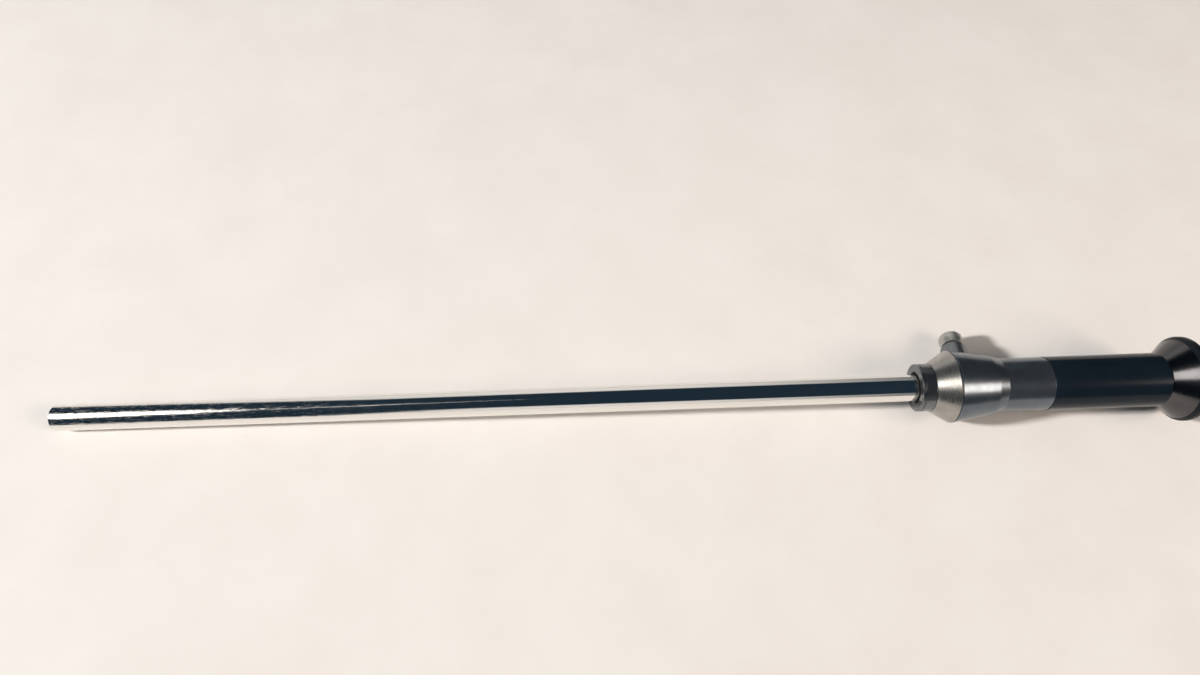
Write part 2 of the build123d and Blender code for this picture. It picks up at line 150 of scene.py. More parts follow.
# %% [markdown]
# ## Patterns that follow an axis
# Tool marks run round the work or along it, so a pattern needs to know a piece's axis.
# A Mapping node turns the object coordinates until x lies along that axis. A cross
# product of axis and arm gives the direction round it, which the shader takes as its
# tangent. Unwrapping each piece would do the same, with a seam to hide on every one.

# %% Axis patterns
def new_material(name):
    """An empty material, its tree, and the object coordinates that its patterns read."""
    material = bpy.data.materials.new(name)
    material.use_nodes = True
    tree = material.node_tree
    tree.nodes.clear()
    return material, tree, add(tree, "ShaderNodeTexCoord").outputs["Object"]


def on_axis(tree, point, matrix):
    """A point as seen from a piece's own axis, with x along it, in metres."""
    return add(
        tree,
        "ShaderNodeMapping",
        {"Vector": point, "Location": matrix.to_translation(), "Rotation": matrix.to_euler()},
        vector_type="TEXTURE",
    )


def round_tangent(tree, point, matrix):
    """Direction round a piece's axis, which is the way a lathe tool runs."""
    axis = matrix.to_3x3() @ Vector((1, 0, 0))
    place = matrix.to_translation()
    arm = add(tree, "ShaderNodeVectorMath", {0: point, 1: place}, operation="SUBTRACT")
    return add(tree, "ShaderNodeVectorMath", {0: axis, 1: arm}, operation="CROSS_PRODUCT")


print("patterns follow the axes of the scope and of the post")

# %% [markdown]
# ## Turned steel
# A lathe leaves fine rings round the work. They spread a reflection across the rings and
# keep it sharp along them, which is what the anisotropy of the shader does once its
# tangent runs round the axis. Noise in the roughness gives the grainy edge that a bright
# band has on satin steel. Rings in the mesh would take millions of faces for the same.

# %% Turned steel
# Real rings are about half as far apart, too fine to show, so they are drawn coarser.
RING_MM = 0.12
RING_STRETCH = (1.0, 0.02, 0.02)
CLOUD_MM = 6
RELIEF_MM = 0.02
# Noise stays near its middle, so these ranges stretch it: one for soft patches of colour,
# one for a fine grain. The grain then spreads the roughness between two shares of its mean.
PATCHES = {"From Min": 0.35, "From Max": 0.65}
GRAIN = {"From Min": 0.3, "From Max": 0.7}
SMOOTHEST = 0.75
ROUGHEST = 1.3


def turned_steel(name, tint, shade, metallic, rough, grain_mm, matrix, aniso=0.5, bump=0.05):
    """Stainless steel turned on a lathe and brushed: rings round the axis and a grain."""
    material, tree, point = new_material(name)
    local = on_axis(tree, point, matrix)
    ringed = add(
        tree, "ShaderNodeVectorMath", {0: local, 1: RING_STRETCH}, operation="MULTIPLY"
    )
    rings = add(
        tree,
        "ShaderNodeTexNoise",
        {"Vector": ringed, "Scale": 1 / (RING_MM * MM), "Detail": 3.0, "Roughness": 0.7},
    )
    grain = add(
        tree,
        "ShaderNodeTexNoise",
        {"Vector": local, "Scale": 1 / (grain_mm * MM), "Detail": 4.0, "Roughness": 0.75},
    )
    cloud = add(
        tree,
        "ShaderNodeTexNoise",
        {"Vector": local, "Scale": 1 / (CLOUD_MM * MM), "Detail": 3.0, "Roughness": 0.6},
    )
    marks = add(tree, "ShaderNodeMix", {"Factor": 0.5, "A": rings, "B": grain}, data_type="FLOAT")
    patch = add(tree, "ShaderNodeMapRange", {"Value": cloud, **PATCHES})
    colours = {"Factor": patch, "A": srgb(tint), "B": srgb(shade)}
    rough_range = {"To Min": rough * SMOOTHEST, "To Max": rough * ROUGHEST}
    surface = {
        "Base Color": add(tree, "ShaderNodeMix", colours, data_type="RGBA"),
        "Metallic": metallic,
        "Roughness": add(tree, "ShaderNodeMapRange", {"Value": marks, **GRAIN, **rough_range}),
        "Anisotropic": aniso,
        "Normal": add(
            tree,
            "ShaderNodeBump",
            {"Height": marks, "Strength": bump, "Distance": RELIEF_MM * MM},
        ),
        "Tangent": round_tangent(tree, point, matrix),
    }
    steel = add(tree, "ShaderNodeBsdfPrincipled", surface)
    add(tree, "ShaderNodeOutputMaterial", {"Surface": steel})
    return material


# Brushed stainless, pale and warm: the rings draw its highlight out round the cone.
cone_steel = turned_steel(
    "brushed_stainless_cone", "#AFADA8", "#9E9C99",
    metallic=0.95, rough=0.25, grain_mm=0.25, matrix=SCOPE, bump=0.12,
)
# Brushed stainless, darker than the cone: a bright band with a grainy edge on a dark body.
# Its blue tint is a painted reflection of the dark blue room that the steel mirrors.
housing_steel = turned_steel(
    "brushed_stainless_housing_painted_blue", "#717A82", "#656E76",
    metallic=0.86, rough=0.21, grain_mm=0.22, matrix=SCOPE, bump=0.2,
)
# Stainless as the tool left it: a middle grey with thin bright lines on its edges.
collar_steel = turned_steel(
    "turned_stainless_collar", "#7C7F81", "#707375",
    metallic=0.92, rough=0.20, grain_mm=0.3, matrix=SCOPE,
)
# Dark satin metal: one soft bright band up the flare, and nearly black beside it.
funnel_steel = turned_steel(
    "dark_satin_funnel", "#5F5E60", "#565658",
    metallic=1.0, rough=0.16, grain_mm=0.3, matrix=SCOPE,
)
# Bead blasted stainless: pale and matt, with no picture of the room in it.
post_steel = turned_steel(
    "blasted_stainless_post", "#BCBDB8", "#A9ABA7",
    metallic=0.85, rough=0.34, grain_mm=0.3, matrix=POST,
)
# Turned stainless, left plain: darker than the cap above it, with a broad soft highlight.
foot_steel = turned_steel(
    "turned_stainless_foot", "#7E8385", "#70757A",
    metallic=0.9, rough=0.30, grain_mm=0.3, matrix=POST,
)
# Unfinished stainless of the inner tubes: an even grey without a clear highlight.
inner_steel = turned_steel(
    "plain_stainless", "#A8A8A8", "#989898",
    metallic=1.0, rough=0.35, grain_mm=0.4, matrix=SCOPE, aniso=0.3,
)
print("seven turned steels made")

# %% [markdown]
# ## Drawn steel
# The shaft is a tube that was drawn through a die and polished, so its fine lines run
# along it. Use leaves short scratches, most of them near the tip. Both are one noise each,
# drawn out along the axis. The wear fades with the distance from the tip, which is read
# from the x of the axis coordinates, so no picture has to be painted for it.

# %% Drawn steel
LINE_MM = 0.25
LINE_STRETCH = (0.015, 1.0, 1.0)
SCRATCH_MM = 0.6
SCRATCH_STRETCH = (0.12, 1.0, 1.0)
SCRATCH_RANGE = {"From Min": 0.50, "From Max": 0.62}
WORN_LENGTH = 230 * MM
DENTED_LENGTH = 120 * MM
TUBE_RELIEF_MM = 0.05
SCRATCH_ROUGH = 0.4
POLISHED_ROUGH = {"To Min": 0.07, "To Max": 0.13}


def drawn_steel(name, tint):
    """Polished stainless tube: near mirror, fine lines along it, scratched near the tip."""
    material, tree, point = new_material(name)
    local = on_axis(tree, point, SCOPE)
    lined = add(tree, "ShaderNodeVectorMath", {0: local, 1: LINE_STRETCH}, operation="MULTIPLY")
    lines = add(
        tree,
        "ShaderNodeTexNoise",
        {"Vector": lined, "Scale": 1 / (LINE_MM * MM), "Detail": 3.0, "Roughness": 0.65},
    )
    scratched = add(
        tree, "ShaderNodeVectorMath", {0: local, 1: SCRATCH_STRETCH}, operation="MULTIPLY"
    )
    scratch_field = add(
        tree,
        "ShaderNodeTexNoise",
        {"Vector": scratched, "Scale": 1 / (SCRATCH_MM * MM), "Detail": 5.0, "Roughness": 0.8},
    )
    scratches = add(tree, "ShaderNodeMapRange", {"Value": scratch_field, **SCRATCH_RANGE})
    station = add(tree, "ShaderNodeSeparateXYZ", {0: local}).outputs["X"]
    worn = add(
        tree,
        "ShaderNodeMapRange",
        {"Value": station, "From Max": WORN_LENGTH, "To Min": 1.0, "To Max": 0.1},
    )
    wear = add(tree, "ShaderNodeMath", {0: scratches, 1: worn}, operation="MULTIPLY")
    polish = add(tree, "ShaderNodeMapRange", {"Value": lines, **GRAIN, **POLISHED_ROUGH})
    rough_mix = {"Factor": wear, "A": polish, "B": SCRATCH_ROUGH}
    height_mix = {"Factor": wear, "A": lines, "B": scratch_field}
    strength = add(
        tree,
        "ShaderNodeMapRange",
        {"Value": station, "From Max": DENTED_LENGTH, "To Min": 0.9, "To Max": 0.15},
    )
    relief = {
        "Height": add(tree, "ShaderNodeMix", height_mix, data_type="FLOAT"),
        "Strength": strength,
        "Distance": TUBE_RELIEF_MM * MM,
    }
    surface = {
        "Base Color": srgb(tint),
        "Metallic": 1.0,
        "Roughness": add(tree, "ShaderNodeMix", rough_mix, data_type="FLOAT"),
        "Normal": add(tree, "ShaderNodeBump", relief),
    }
    steel = add(tree, "ShaderNodeBsdfPrincipled", surface)
    add(tree, "ShaderNodeOutputMaterial", {"Surface": steel})
    return material


# Polished stainless: the room shows in it as stripes, broken into lines near the tip.
shaft_steel = drawn_steel("drawn_stainless_tube", "#F2F0EC")
print("drawn steel made")

# %% [markdown]
# ## Black sleeve, plastic, rubber and fibre ends
# The grip is a smooth black sleeve with a bluish cast, and the eyecup behind the flare is
# black plastic. Rubber hardly mirrors, and the resin and glass of the fibre ends are pale.
# They differ in colour and gloss only, so one function with a fine grain serves them all.
# Its reflection is set low, so that the black ones stay deep black under soft light.

# %% Dark finishes
DARK_CLOUD_MM = 8
DARK_BUMP = 0.04
DARK_SPECULAR = 0.14
DARK_SMOOTHEST = 0.85
DARK_ROUGHEST = 1.15


def dark_surface(name, tint, shade, metallic, rough, grain_mm):
    """A finish with a weak reflection and a fine grain, as plastic or rubber has."""
    material, tree, point = new_material(name)
    local = on_axis(tree, point, SCOPE)
    grain = add(
        tree,
        "ShaderNodeTexNoise",
        {"Vector": local, "Scale": 1 / (grain_mm * MM), "Detail": 4.0, "Roughness": 0.7},
    )
    cloud = add(
        tree,
        "ShaderNodeTexNoise",
        {"Vector": local, "Scale": 1 / (DARK_CLOUD_MM * MM), "Detail": 3.0, "Roughness": 0.6},
    )
    patch = add(tree, "ShaderNodeMapRange", {"Value": cloud, **PATCHES})
    colours = {"Factor": patch, "A": srgb(tint), "B": srgb(shade)}
    rough_range = {"To Min": rough * DARK_SMOOTHEST, "To Max": rough * DARK_ROUGHEST}
    surface = {
        "Base Color": add(tree, "ShaderNodeMix", colours, data_type="RGBA"),
        "Metallic": metallic,
        "Specular IOR Level": DARK_SPECULAR,
        "Roughness": add(tree, "ShaderNodeMapRange", {"Value": grain, **GRAIN, **rough_range}),
        "Normal": add(
            tree,
            "ShaderNodeBump",
            {"Height": grain, "Strength": DARK_BUMP, "Distance": RELIEF_MM * MM},
        ),
    }
    skin = add(tree, "ShaderNodeBsdfPrincipled", surface)
    add(tree, "ShaderNodeOutputMaterial", {"Surface": skin})
    return material


# Hard smooth sleeve: deep blue-black, with one narrow and quite sharp reflection.
grip_black = dark_surface(
    "black_sleeve", "#121B23", "#151F28", metallic=0.0, rough=0.17, grain_mm=0.25
)
# Moulded plastic: as black as the sleeve, with a softer sheen on its rounded rim.
eyecup_black = dark_surface(
    "black_moulded_plastic", "#0D1216", "#12181D", metallic=0.0, rough=0.36, grain_mm=0.3
)
# Black anodised aluminium of stops and spacers: dull, so that it kills stray light.
inner_black = dark_surface(
    "black_anodised_aluminium", "#17181A", "#111213", metallic=0.6, rough=0.5, grain_mm=0.2
)
# Moulded rubber of the seals: matt black, and it reads as a shadow between two metals.
# In the countersink of the collar it is painted shade.
rubber = dark_surface(
    "seal_rubber", "#141414", "#1A1A1A", metallic=0.0, rough=0.7, grain_mm=0.3
)
# Ground resin between the fibres: pale and a little yellow.
fibre_bond = dark_surface(
    "fibre_bond", "#B9B6A6", "#A5A294", metallic=0.0, rough=0.3, grain_mm=0.05
)
# Polished glass ends of the fibres: nearly white dots with a small highlight.
fibre_core = dark_surface(
    "fibre_glass_ends", "#E6E6DC", "#DADBD4", metallic=0.0, rough=0.12, grain_mm=0.05
)
print("six dark and pale finishes made")

# %% [markdown]
# ## Optical glass
# Lenses and windows are ground and polished, then coated against reflections. Glass is
# the one material here that light passes through. A coat layer with a blue tint gives
# the coloured glint of the coating, and a faint smear keeps it from looking unreal.

# %% Glass
SMEAR_MM = 3
SMEAR_RANGE = {"From Min": 0.4, "From Max": 0.8, "To Min": 0.01, "To Max": 0.05}
GLASS_IOR = 1.6


def clear_glass(name, tint, coat):
    """Polished optical glass; the coating tints what it mirrors."""
    material, tree, point = new_material(name)
    local = on_axis(tree, point, SCOPE)
    smear = add(
        tree,
        "ShaderNodeTexNoise",
        {"Vector": local, "Scale": 1 / (SMEAR_MM * MM), "Detail": 3.0, "Roughness": 0.6},
    )
    surface = {
        "Base Color": srgb(tint),
        "Roughness": add(tree, "ShaderNodeMapRange", {"Value": smear, **SMEAR_RANGE}),
        "IOR": GLASS_IOR,
        "Transmission Weight": 1.0,
        "Coat Weight": 0.6,
        "Coat Tint": srgb(coat),
    }
    clear = add(tree, "ShaderNodeBsdfPrincipled", surface)
    add(tree, "ShaderNodeOutputMaterial", {"Surface": clear})
    return material


# Coated glass: clear, with a bluish glint.
glass = clear_glass("coated_optical_glass", "#F2F6F4", "#B8C8FF")
print("glass made")

# %% [markdown]
# ## A lathe made of nodes
# Almost every piece of a scope is turned: an outline swept round an axis. The outline is
# a closed curve of corners, x along the axis and y outwards, and each corner carries its
# own small radius, as a real edge is never knife sharp. The node tree rounds the corners,
# lays a grid over outline and circle, and moves each grid point to its place. Sweeping in
# nodes keeps the outline editable; a spun mesh would have to be made again.

# %% Lathe tree
SEGMENTS = 192
WIDE_SEGMENTS = 256
CORNER_STEPS = 5
MERGE_M = 1e-7


def group_tree(name, sockets):
    """A geometry tree with the given inputs and one geometry output, and its input node."""
    tree = bpy.data.node_groups.new(name, "GeometryNodeTree")
    tree.interface.new_socket("Geometry", in_out="INPUT", socket_type="NodeSocketGeometry")
    for label, kind, value in sockets:
        socket = tree.interface.new_socket(label, in_out="INPUT", socket_type=kind)
        if value is not None:
            socket.default_value = value
    tree.interface.new_socket("Geometry", in_out="OUTPUT", socket_type="NodeSocketGeometry")
    return tree, add(tree, "NodeGroupInput")


def painted_end(tree, geometry, given):
    """Ends a tree: its copies made real, its material set, its result handed on."""
    real = add(tree, "GeometryNodeRealizeInstances", {"Geometry": geometry})
    painting = {"Geometry": real, "Material": given.outputs["Material"]}
    painted = add(tree, "GeometryNodeSetMaterial", painting)
    add(tree, "NodeGroupOutput", {"Geometry": painted})
    return tree


def lathe_tree():
    """Outline curve in, turned solid out."""
    tree, given = group_tree(
        "lathe",
        [
            ("Segments", "NodeSocketInt", SEGMENTS),
            ("Corner Steps", "NodeSocketInt", CORNER_STEPS),
            ("Material", "NodeSocketMaterial", None),
        ],
    )
    segments = given.outputs["Segments"]
    rounding = {
        "Curve": given.outputs["Geometry"],
        "Count": given.outputs["Corner Steps"],
        "Radius": add(tree, "GeometryNodeInputRadius"),
        "Limit Radius": True,
    }
    rounded = add(tree, "GeometryNodeFilletCurve", rounding, mode="POLY")
    points = add(tree, "GeometryNodeCurveToPoints", {"Curve": rounded}, mode="EVALUATED")
    count = add(
        tree, "GeometryNodeAttributeDomainSize", {"Geometry": points}, component="POINTCLOUD"
    ).outputs["Point Count"]

    # The grid has a row for each outline point and a column for each segment, and one more
    # of each, where the surface closes on itself.
    rows = add(tree, "FunctionNodeIntegerMath", {0: count, 1: 1}, operation="ADD")
    columns = add(tree, "FunctionNodeIntegerMath", {0: segments, 1: 1}, operation="ADD")
    grid = add(tree, "GeometryNodeMeshGrid", {"Vertices X": rows, "Vertices Y": columns})
    index = add(tree, "GeometryNodeInputIndex")
    line = add(tree, "FunctionNodeIntegerMath", {0: index, 1: columns}, operation="DIVIDE")
    row = add(tree, "FunctionNodeIntegerMath", {0: line, 1: count}, operation="MODULO")
    column = add(tree, "FunctionNodeIntegerMath", {0: index, 1: columns}, operation="MODULO")

    # Each grid point takes the station and radius of its outline point, turned by its angle.
    position = add(tree, "GeometryNodeInputPosition")
    corner = add(
        tree,
        "GeometryNodeSampleIndex",
        {"Geometry": points, "Value": position, "Index": row},
        data_type="FLOAT_VECTOR",
        domain="POINT",
    )
    parts = add(tree, "ShaderNodeSeparateXYZ", {0: corner})
    radius = parts.outputs["Y"]
    share = add(tree, "ShaderNodeMath", {0: column, 1: segments}, operation="DIVIDE")
    angle = add(tree, "ShaderNodeMath", {0: share, 1: math.tau}, operation="MULTIPLY")
    cosine = add(tree, "ShaderNodeMath", {0: angle}, operation="COSINE")
    sine = add(tree, "ShaderNodeMath", {0: angle}, operation="SINE")
    y = add(tree, "ShaderNodeMath", {0: radius, 1: cosine}, operation="MULTIPLY")
    z = add(tree, "ShaderNodeMath", {0: radius, 1: sine}, operation="MULTIPLY")
    place = add(tree, "ShaderNodeCombineXYZ", {"X": parts.outputs["X"], "Y": y, "Z": z})
    turned = add(tree, "GeometryNodeSetPosition", {"Geometry": grid, "Position": place})
    closed = add(
        tree, "GeometryNodeMergeByDistance", {"Geometry": turned, "Distance": MERGE_M}
    )
    smooth = add(tree, "GeometryNodeSetShadeSmooth", {"Geometry": closed})
    return painted_end(tree, smooth, given)


LATHE = lathe_tree()
print("lathe tree with", len(LATHE.nodes), "nodes")

# %% [markdown]
# ## From a tree to a plain mesh
# The grid of the lathe can come out inside out, so doubles are merged and the faces turned
# outwards. A wide flat face beside a small round edge shades like a pillow; the Weighted
# Normal modifier lets the wide face win, and edges past a set angle stay sharp.

# %% Plain meshes
SHARP_DEG = 40
FACE_WEIGHT = 90


def set_inputs(modifier, values):
    """Sets a tree's inputs by the identifier of each socket."""
    for item in modifier.node_group.interface.items_tree:
        if item.item_type == "SOCKET" and item.in_out == "INPUT" and item.name in values:
            modifier[item.identifier] = values[item.name]


def plain_mesh(source, name, matrix=Matrix.Identity(4)):
    """The evaluated object as a plain mesh object at the origin, its place in its mesh."""
    graph = bpy.context.evaluated_depsgraph_get()
    mesh = bpy.data.meshes.new_from_object(source.evaluated_get(graph))
    mesh.transform(matrix)
    bpy.data.objects.remove(source)
    made = bpy.data.objects.new(name, mesh)
    scene.collection.objects.link(made)
    return made


def outwards(piece, sharp_deg=SHARP_DEG):
    """Merges doubles, turns the faces outwards, and evens the shading of wide faces."""
    shape = bmesh.new()
    shape.from_mesh(piece.data)
    bmesh.ops.remove_doubles(shape, verts=shape.verts, dist=MERGE_M)
    bmesh.ops.recalc_face_normals(shape, faces=shape.faces)
    for edge in shape.edges:
        edge.smooth = edge.calc_face_angle(0) < math.radians(sharp_deg)
    for face in shape.faces:
        face.smooth = True
    shape.to_mesh(piece.data)
    shape.free()
    evened = piece.modifiers.new("even", "WEIGHTED_NORMAL")
    evened.keep_sharp = True
    evened.weight = FACE_WEIGHT
    name = piece.name
    piece.name = name + "_raw"
    return plain_mesh(piece, name)


print("edges past", SHARP_DEG, "degrees stay sharp")

# %% [markdown]
# ## Turned pieces
# One function turns an outline into a finished piece, as one lathe serves a whole shop.
# An outline lists its corners in mm as station, radius and, where it matters, the radius
# of the rounded edge. Edges share a few radii, from keen to a little worn.

# %% Turned pieces
EDGE = 0.06
KEEN = 0.03
CRISP = 0.05
SOFT = 0.08
BROKEN = 0.1
WORN = 0.12
slots = {entry["node"]: entry["material_slot"] for entry in frame["record"]["subparts"]}


def turned_piece(name, corners, material, matrix=SCOPE, segments=SEGMENTS):
    """A turned piece from (station, radius) or (station, radius, edge radius) corners in mm."""
    curve = bpy.data.curves.new(name + "_outline", "CURVE")
    curve.dimensions = "3D"
    spline = curve.splines.new("POLY")
    spline.points.add(len(corners) - 1)
    spline.use_cyclic_u = True
    for point, corner in zip(spline.points, corners):
        station, radius, *edge = corner
        point.co = (station * MM, radius * MM, 0, 1)
        point.radius = (edge[0] if edge else EDGE) * MM
    blank = bpy.data.objects.new(name + "_outline", curve)
    scene.collection.objects.link(blank)
    modifier = blank.modifiers.new("lathe", "NODES")
    modifier.node_group = LATHE
    values = {"Segments": segments, "Corner Steps": CORNER_STEPS, "Material": material}
    set_inputs(modifier, values)
    piece = outwards(plain_mesh(blank, name, matrix))
    print(name, len(piece.data.polygons), "faces")
    return piece


def stand_for(piece, node):
    """The piece shows in place of a node and rides with it."""
    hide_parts(node)
    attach(piece, "root")


print(len(set(slots.values())), "material slots in the record")

# %% [markdown]
# ## Shaft
# A stainless tube, 10 mm thick and 330 mm long in front of the collar. Its front edge is
# rounded so that it slides through a seal, and inside the collar it is turned down a
# little for its solder seat. One outline with six corners is enough.

# %% Shaft
FIT = 0.02
SHAFT_FRONT_EDGE = 0.25
tube_start, tube_end, tube_bore, tube_r = reach("outer_tube")
collar_start, collar_back, collar_bore, collar_r = reach("shaft_collar")
seat_r = collar_bore - FIT
shaft = turned_piece(
    "shaft_tube",
    [
        (tube_start, tube_bore, CRISP),
        (tube_start, tube_r, SHAFT_FRONT_EDGE),
        (collar_start, tube_r, KEEN),
        (collar_start, seat_r, KEEN),
        (tube_end, seat_r),
        (tube_end, tube_bore),
    ],
    shaft_steel,
    segments=WIDE_SEGMENTS,
)
stand_for(shaft, "outer_tube")

# %% [markdown]
# ## Collar
# The collar is the nose of the housing, which holds the shaft. It has a fine groove behind
# its front edge and a countersink round the shaft. Both are part of the one outline, as
# on the lathe, so no cutter is needed for them.

# %% Collar
GROOVE_FROM_FACE = 0.95
GROOVE_WIDTH = 0.35
GROOVE_DEPTH = 0.35
SINK_WIDTH = 1.2
SINK_DEPTH = 1.4
STUB_R = 6.8
COLLAR_FRONT_EDGE = 0.35
COLLAR_BACK_EDGE = 0.2
cone_start, cone_end, cone_bore, cone_r = reach("front_cone")
groove = collar_start + GROOVE_FROM_FACE
collar = turned_piece(
    "nose_collar",
    [
        (collar_start, tube_r + SINK_WIDTH, BROKEN),
        (collar_start, collar_r, COLLAR_FRONT_EDGE),
        (groove, collar_r, SOFT),
        (groove, collar_r - GROOVE_DEPTH, KEEN),
        (groove + GROOVE_WIDTH, collar_r - GROOVE_DEPTH, KEEN),
        (groove + GROOVE_WIDTH, collar_r, SOFT),
        (cone_start, collar_r, COLLAR_BACK_EDGE),
        (cone_start, STUB_R),
        (collar_back, STUB_R),
        (collar_back, collar_bore),
        (collar_start + SINK_DEPTH, collar_bore),
    ],
    collar_steel,
)
stand_for(collar, "shaft_collar")

# %% [markdown]
# ## Painted shade in the countersink
# The countersink round the shaft lies in shade. A black rubber wedge is put in it as
# painted shade, so it shows as a black ring. The wedge stays just under the face of the
# collar, and is turned like the rest.

# %% Painted shade ring
SHADE_RING_SETBACK = 0.25
SHADE_RING_FILL = 0.9
SHADE_RING_FLOOR_GAP = 0.15
SHADE_RING_TAIL = 0.03
shade_ring_front = collar_start + SHADE_RING_SETBACK
shade_ring_back = collar_start + SINK_DEPTH - SHADE_RING_FLOOR_GAP
shade_ring_r = tube_r + SHADE_RING_FILL * SINK_WIDTH * (1 - SHADE_RING_SETBACK / SINK_DEPTH)
# Painted shade: a black ring in the countersink, where the scope has only a shaded gap.
countersink_shade_ring = turned_piece(
    "countersink_shade_ring",
    [
        (shade_ring_front, tube_r + FIT),
        (shade_ring_front, shade_ring_r),
        (shade_ring_back, tube_r + FIT + SHADE_RING_TAIL),
        (shade_ring_back, tube_r + FIT),
    ],
    rubber,
)
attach(countersink_shade_ring, "root")

# %% [markdown]
# ## Cone
# The cone widens from the collar to the joint and is screwed on the housing. The joint
# shows as a thin dark line all round. A line of paint would stay flat in every light, so
# it is a narrow groove between the two pieces, and the light makes the line.

# %% Cone
CONE_FRONT_R = 9.15
CONE_RIM_EDGE = 0.4
EDGE_BREAK = 0.2
SPIGOT_SEAT_R = 10.05
SEAM = 0.3
SEAM_DEPTH = 1.4
housing_start, barrel_end, web_bore = reach("light_housing")[:3]
cone = turned_piece(
    "housing_cone",
    [
        (cone_start, cone_bore),
        (cone_start, CONE_FRONT_R, CRISP),
        (cone_end - EDGE_BREAK - SEAM, cone_r, CONE_RIM_EDGE),
        (cone_end - SEAM, cone_r, WORN),
        (cone_end - SEAM, cone_r - SEAM_DEPTH),
        (cone_end, cone_r - SEAM_DEPTH),
        (cone_end, SPIGOT_SEAT_R),
        (housing_start, SPIGOT_SEAT_R),
        (housing_start, cone_bore),
    ],
    cone_steel,
    segments=WIDE_SEGMENTS,
)
stand_for(cone, "front_cone")

# %% [markdown]
# ## Housing
# One turned piece carries the light post and the grip. Behind the joint it tapers in two
# steps to the barrel, and a web inside holds the optics. The shoulder between the steps
# has the largest radius of all, because the bright band bends over it softly.

# %% Housing
TAPER_LENGTH = 14.6
NECK_LENGTH = 3.8
JOINT_CHAMFER = 0.1
SHOULDER_R = 11.25
SHOULDER_ROUND = 0.9
NECK_ROUND = 0.5
BARREL_R = 10.0
BARREL_CHAMFER = 0.3
SPIGOT_R = 10.0
WEB_LENGTH = 3.4
grip_start, grip_end, grip_bore, grip_r = reach("grip_sleeve")
taper_end = cone_end + TAPER_LENGTH
barrel_start = taper_end + NECK_LENGTH
housing_raw = turned_piece(
    "light_post_housing",
    [
        (housing_start, web_bore),
        (housing_start, SPIGOT_R),
        (cone_end, SPIGOT_R),
        (cone_end, cone_r - JOINT_CHAMFER, CRISP),
        (cone_end + EDGE_BREAK, cone_r, BROKEN),
        (taper_end, SHOULDER_R, SHOULDER_ROUND),
        (barrel_start, BARREL_R, NECK_ROUND),
        (barrel_end - BARREL_CHAMFER, BARREL_R, BROKEN),
        (barrel_end, BARREL_R - BARREL_CHAMFER, BROKEN),
        (barrel_end, grip_bore),
        (housing_start + WEB_LENGTH, grip_bore),
        (housing_start + WEB_LENGTH, web_bore),
    ],
    housing_steel,
    segments=WIDE_SEGMENTS,
)

# %% [markdown]
# ## Flat under the light post
# The light post stands on a small round flat, which an end mill leaves in the taper. A
# Boolean with a plain cylinder does what the mill does and gives the true curved edge
# where flat and taper meet. Its edges are blunt there, so the angle that counts as sharp
# is smaller.

# %% Flat under the light post
FOOT_CLEARANCE = 0.15
CUTTER_LENGTH = 12
CUTTER_SEGMENTS = 96
CUT_SHARP_DEG = 25
post_start, post_joint, post_bore, foot_r = reach("inner_adapter", POST)
cutter_r = foot_r + FOOT_CLEARANCE
cutter = turned_piece(
    "flat_cutter",
    [
        (post_start, 0.0, 0.0),
        (post_start, cutter_r, CRISP),
        (post_start + CUTTER_LENGTH, cutter_r, CRISP),
        (post_start + CUTTER_LENGTH, 0.0, 0.0),
    ],
    housing_steel,
    POST,
    segments=CUTTER_SEGMENTS,
)
cut = housing_raw.modifiers.new("flat", "BOOLEAN")
cut.operation = "DIFFERENCE"
cut.solver = "EXACT"
cut.object = cutter
housing = outwards(plain_mesh(housing_raw, "light_post_housing"), CUT_SHARP_DEG)
bpy.data.objects.remove(cutter)
stand_for(housing, "light_housing")
print(housing.name, "cut, now", len(housing.data.polygons), "faces")

# %% [markdown]
# ## Grip
# The sleeve that the hand holds is a plain tube with broken edges. It lies flush with the
# barrel, so only its front edge and its colour tell the two apart.

# %% Grip
GRIP_FRONT_EDGE = 0.18
grip = turned_piece(
    "grip_tube",
    [
        (grip_start, grip_bore),
        (grip_start, grip_r, GRIP_FRONT_EDGE),
        (grip_end, grip_r, WORN),
        (grip_end, grip_bore),
    ],
    grip_black,
    segments=WIDE_SEGMENTS,
)
stand_for(grip, "grip_sleeve")

# %% [markdown]
# ## Eyepiece
# Behind the grip the eyepiece flares at 42 degrees, from a root that lies deeper than the
# sleeve, so a dark crease shows between the two. The flare is given by its angle, as on a
# drawing, and the places of the joint and of the rim are worked out from it.

# %% Eyepiece
FLARE_DEG = 42.0
FLARE_ROOT_R = 8.5
CUP_JOINT_R = 14.875
CUP_SEAT_R = 12.05
CORE_SEAT_R = 8.1
CORE_THREAD = 3.0
WINDOW_SEAT_R = 7.02
FUNNEL_WEB = 0.6
cup_front, cup_end, cup_bore, rim_r = reach("eyecup_ring")
flare_slope = math.tan(math.radians(FLARE_DEG))
cup_joint = grip_end + (CUP_JOINT_R - FLARE_ROOT_R) / flare_slope
web_front = grip_end + CORE_THREAD
funnel = turned_piece(
    "eyepiece_flare",
    [
        (grip_end, CORE_SEAT_R),
        (grip_end, FLARE_ROOT_R, CRISP),
        (cup_joint, CUP_JOINT_R, CRISP),
        (cup_joint, CUP_SEAT_R),
        (cup_front, CUP_SEAT_R),
        (cup_front, WINDOW_SEAT_R),
        (web_front + FUNNEL_WEB, WINDOW_SEAT_R),
        (web_front + FUNNEL_WEB, cup_bore),
        (web_front, cup_bore),
        (web_front, CORE_SEAT_R),
    ],
    funnel_steel,
    segments=WIDE_SEGMENTS,
)
stand_for(funnel, "eyepiece_funnel")

# %% [markdown]
# ## Eyecup
# The black eyecup goes on with the flare and carries the rim of 31.75 mm, the size that
# camera couplers grip. It has a dish down to the window. Its edges touch the eye, so they
# have the wide radii of a moulding and not the broken edges of the metal.

